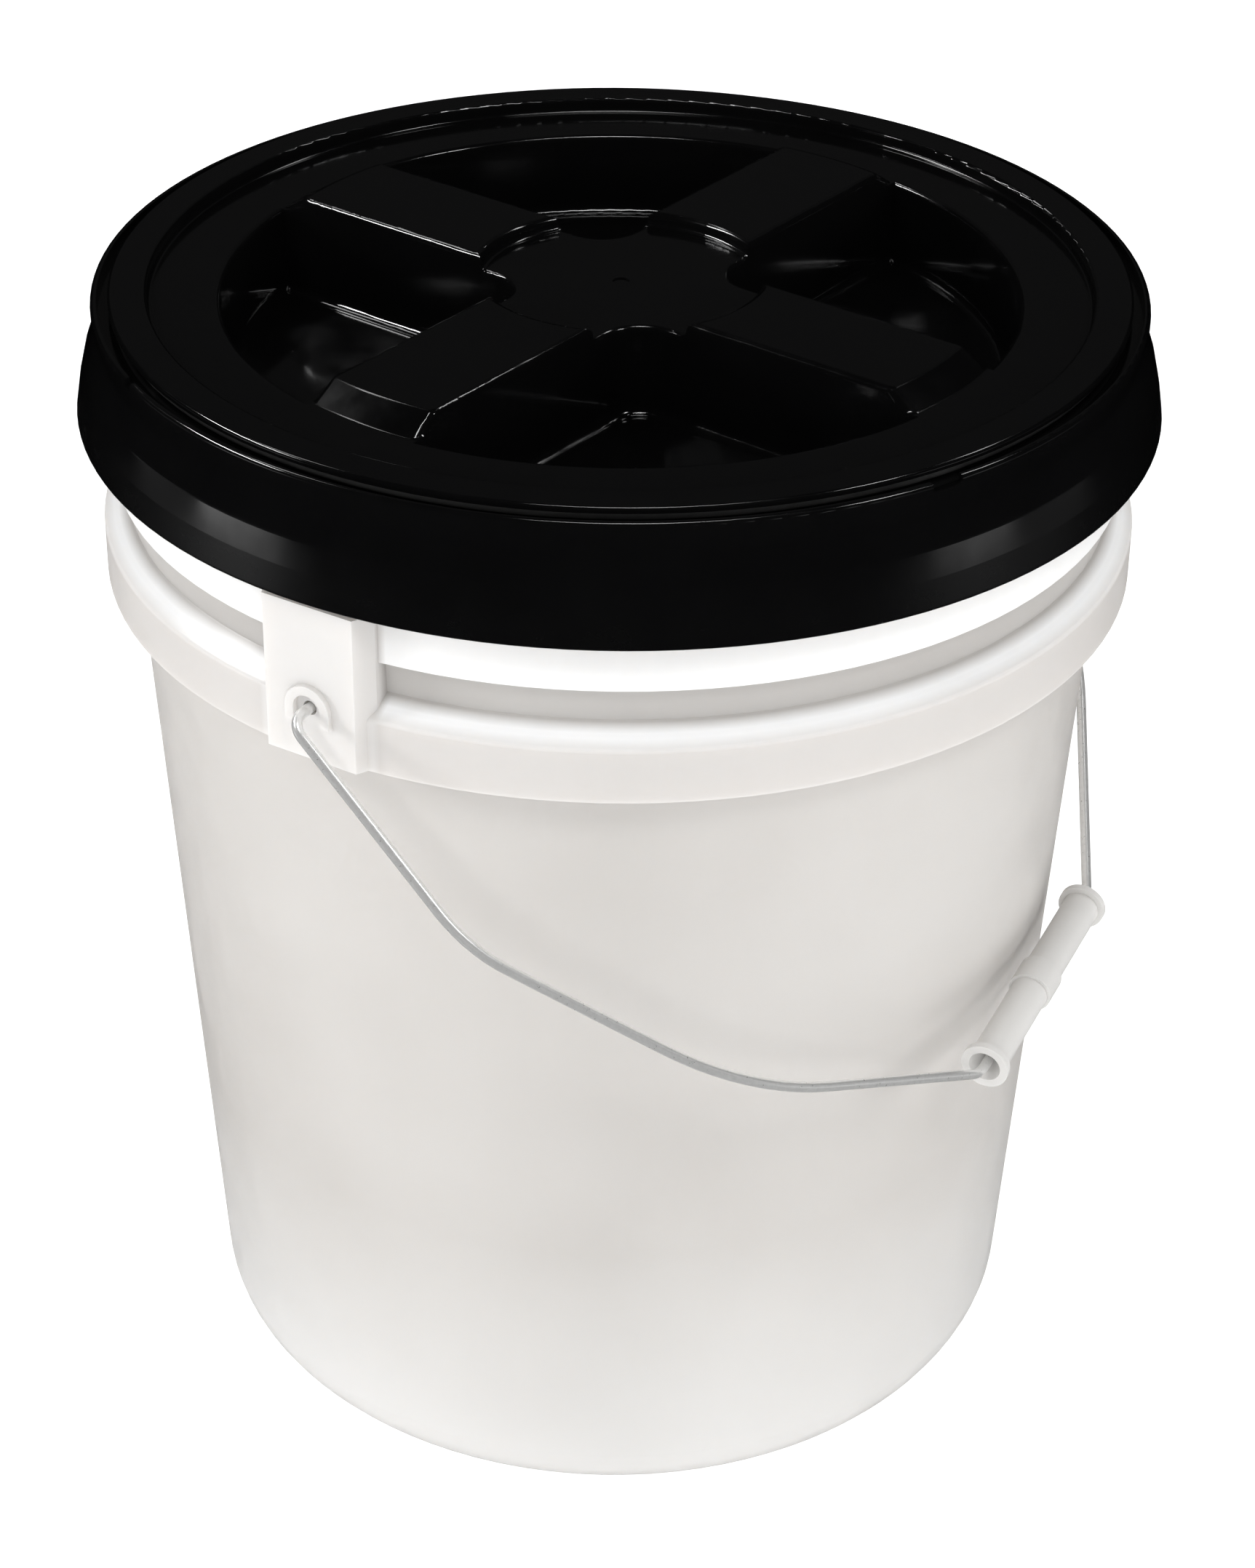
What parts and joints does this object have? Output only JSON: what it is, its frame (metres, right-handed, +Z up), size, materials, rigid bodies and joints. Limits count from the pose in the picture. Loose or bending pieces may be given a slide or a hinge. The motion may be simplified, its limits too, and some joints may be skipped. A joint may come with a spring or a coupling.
{
  "type": "plastic fermenting bucket",
  "caption": "White tapered pail with a wire bail and tube grip, closed by a black push-fit threaded ring and a screw lid with hand pockets.",
  "frame": {"origin": "middle of the base, on the surface that the bucket stands on", "axes": "+Z up along the pail's axis; the bail's pivots lie on the X axis and the bail hangs on the -Y side"},
  "size_m": [0.3488, 0.3295, 0.37],
  "materials": {
    "pail_plastic": "natural white polyethylene, satin, slightly see-through",
    "lid_plastic": "black moulded plastic, glossy",
    "gasket_rubber": "black elastomer",
    "bail_wire": "bright drawn steel wire",
    "grip_plastic": "white moulded plastic"
  },
  "bodies": {
    "pail": {"pail": "pail_plastic", "adapter_ring": "lid_plastic", "rim_gasket": "gasket_rubber"},
    "lid_gasket": {"lid_gasket": "gasket_rubber"},
    "lid": {"lid": "lid_plastic"},
    "bail": {"bail": "bail_wire"},
    "grip": {"grip": "grip_plastic"}
  },
  "joints": [
    {"name": "bail_swing", "type": "hinge", "parent": "pail", "child": "bail", "pos_m": [0, 0, 0.297], "axis": [-1, 0, 0], "range_deg": [0, 260]},
    {"name": "grip_spin", "type": "hinge", "parent": "bail", "child": "grip", "pos_m": [0, -0.15359, 0.16812], "axis": [0.9899, 0.1086, 0.0911], "continuous": true},
    {"name": "lid_lift", "type": "slide", "parent": "pail", "child": "lid_gasket", "axis": [0, 0, 1], "range_m": [0, 0.0361]},
    {"name": "lid_turn", "type": "hinge", "parent": "lid_gasket", "child": "lid", "pos_m": [0, 0, 0.364], "axis": [0, 0, 1], "range_deg": [0, 1080]}
  ],
  "couplings": [
    {"joint": "lid_lift", "follows": "lid_turn", "m_per_rad": 0.0019099}
  ]
}
